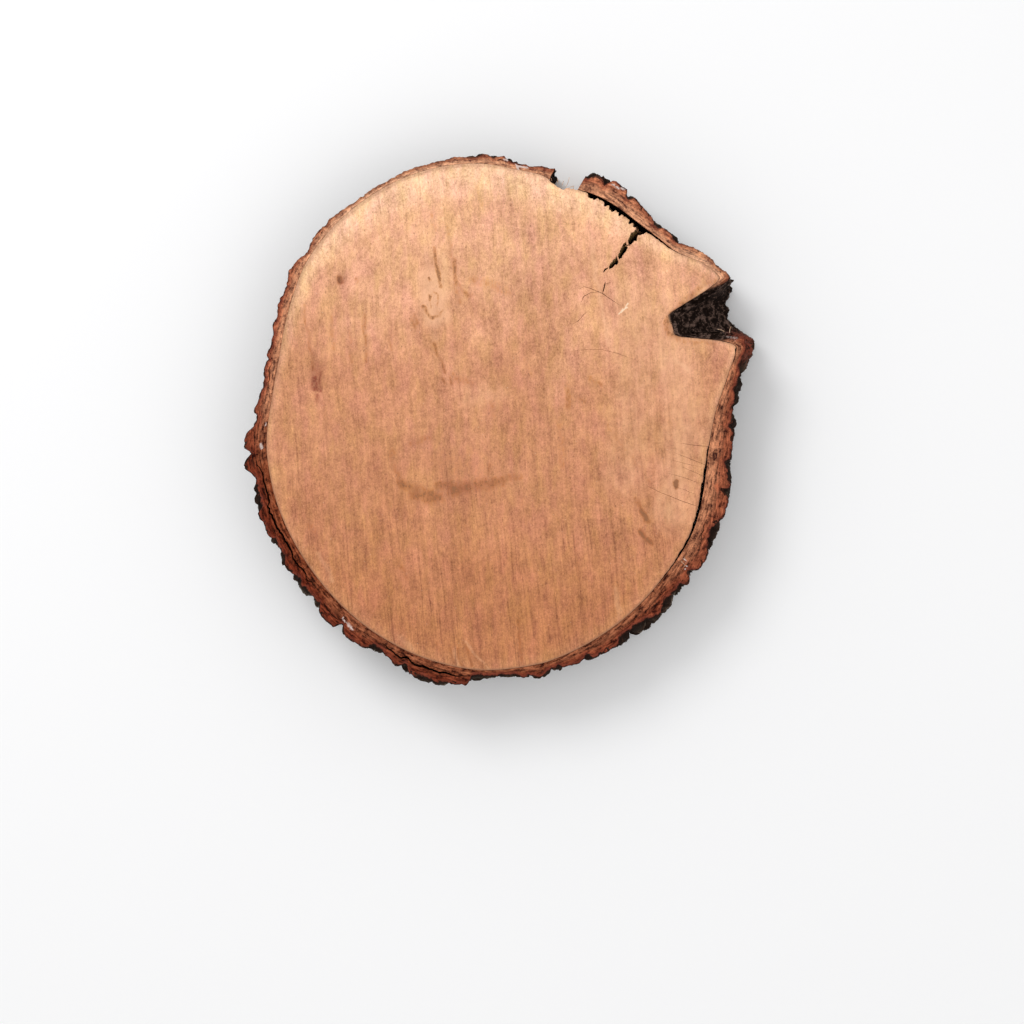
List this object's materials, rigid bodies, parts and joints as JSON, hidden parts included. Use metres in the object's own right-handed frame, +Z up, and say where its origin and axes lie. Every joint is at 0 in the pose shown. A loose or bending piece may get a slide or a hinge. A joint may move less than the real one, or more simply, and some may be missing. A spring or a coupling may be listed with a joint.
{
  "type": "wood slice",
  "caption": "Flat slice sawn across a tree trunk, with rough bark round its rim, a bark-lined notch, a radial crack and a place where the bark has broken away.",
  "frame": {"origin": "middle of the underside: the centre of the outline in X and Y, and in Z the sawn face that the slice lies on", "axes": "+Z up, out of the sawn face that shows; +Y along the longest extent, towards the missing bark; +X towards the notch"},
  "size_m": [0.2685, 0.2799, 0.04],
  "materials": {
    "wood": "sawn across the grain, dry, matt",
    "bark": "rough and furrowed, matt"
  },
  "bodies": {
    "root": {"wood": "wood", "bark": "bark"}
  },
  "joints": []
}
